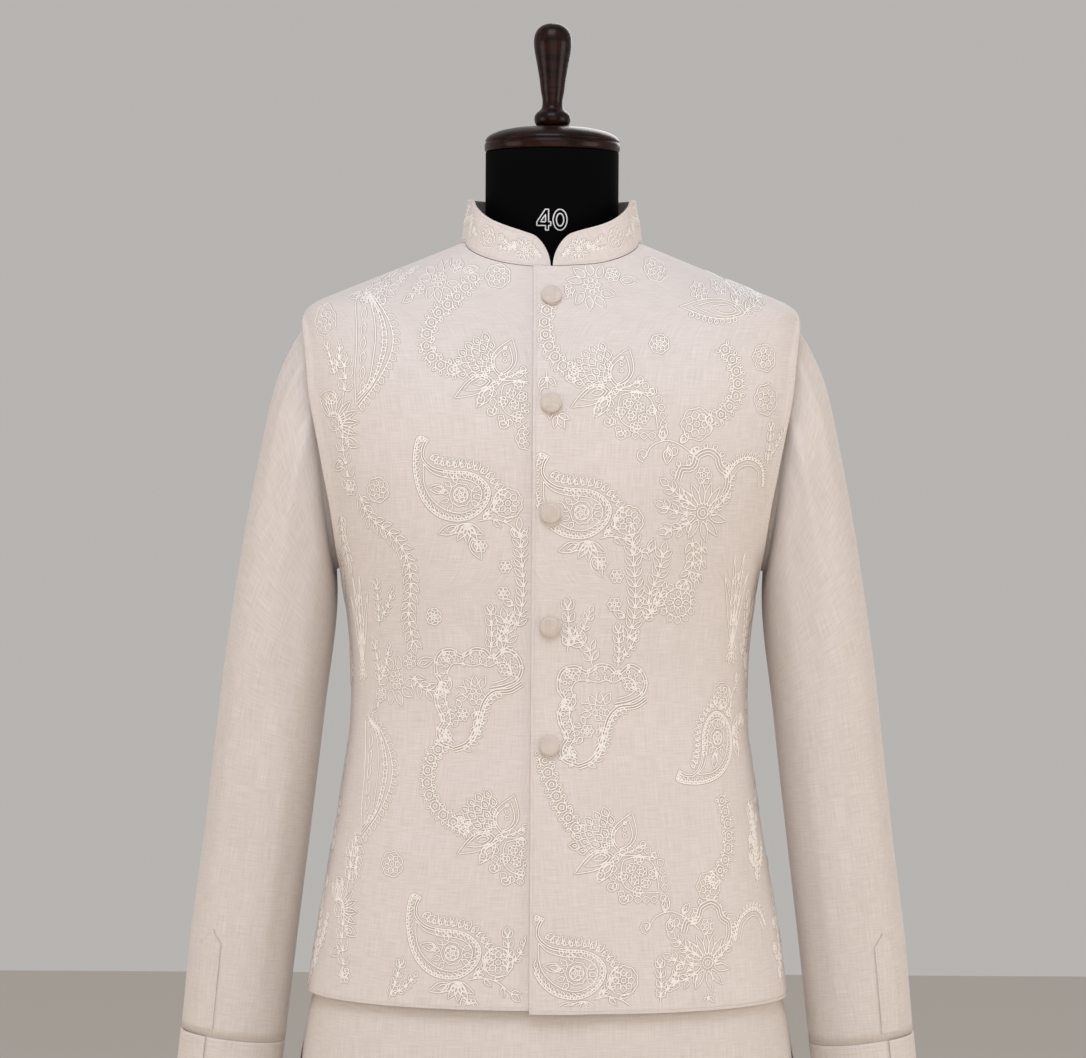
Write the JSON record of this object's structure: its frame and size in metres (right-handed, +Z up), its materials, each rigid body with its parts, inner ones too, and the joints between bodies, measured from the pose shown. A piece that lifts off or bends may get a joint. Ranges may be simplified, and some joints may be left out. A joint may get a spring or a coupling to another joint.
{
  "type": "kurta pajama set on a tailor's dress form",
  "caption": "Long-sleeved kurta, straight pajama and embroidered band-collar jacket, worn by a limbless dress form on a round stand.",
  "frame": {"origin": "centre of the round base's underside, on the floor", "axes": "+Z up; the wearer faces -Y, and the wearer's left is +X"},
  "size_m": [0.6568, 0.4, 1.684],
  "materials": {
    "jacket_cloth": "off-white slubbed cloth with cream cord embroidery",
    "button_cloth": "cloth-covered buttons, matt",
    "kurta_cloth": "plain off-white cotton and linen, matt",
    "pajama_cloth": "plain off-white cotton, matt",
    "form_cover": "black stretch cover, matt",
    "turned_wood": "dark stained and varnished",
    "stand_metal": "black powder coat"
  },
  "bodies": {
    "root": {"jacket_front_left": "jacket_cloth", "jacket_front_right": "jacket_cloth", "jacket_back": "jacket_cloth", "jacket_collar": "jacket_cloth", "jacket_button_1": "button_cloth", "jacket_button_2": "button_cloth", "jacket_button_3": "button_cloth", "jacket_button_4": "button_cloth", "jacket_button_5": "button_cloth", "kurta_cuff_button_left": "button_cloth", "kurta_cuff_button_right": "button_cloth", "kurta_front": "kurta_cloth", "kurta_back": "kurta_cloth", "kurta_sleeve_left": "kurta_cloth", "kurta_sleeve_right": "kurta_cloth", "kurta_placket_left": "kurta_cloth", "kurta_placket_right": "kurta_cloth", "kurta_cuff_left": "kurta_cloth", "kurta_cuff_right": "kurta_cloth", "pajama_leg_left": "pajama_cloth", "pajama_leg_right": "pajama_cloth", "pajama_waistband": "pajama_cloth", "form_torso": "form_cover", "form_cap": "turned_wood", "form_finial": "turned_wood", "stand_base": "stand_metal", "stand_pole": "stand_metal", "stand_flange_lower": "stand_metal", "stand_flange_upper": "stand_metal"}
  },
  "joints": []
}
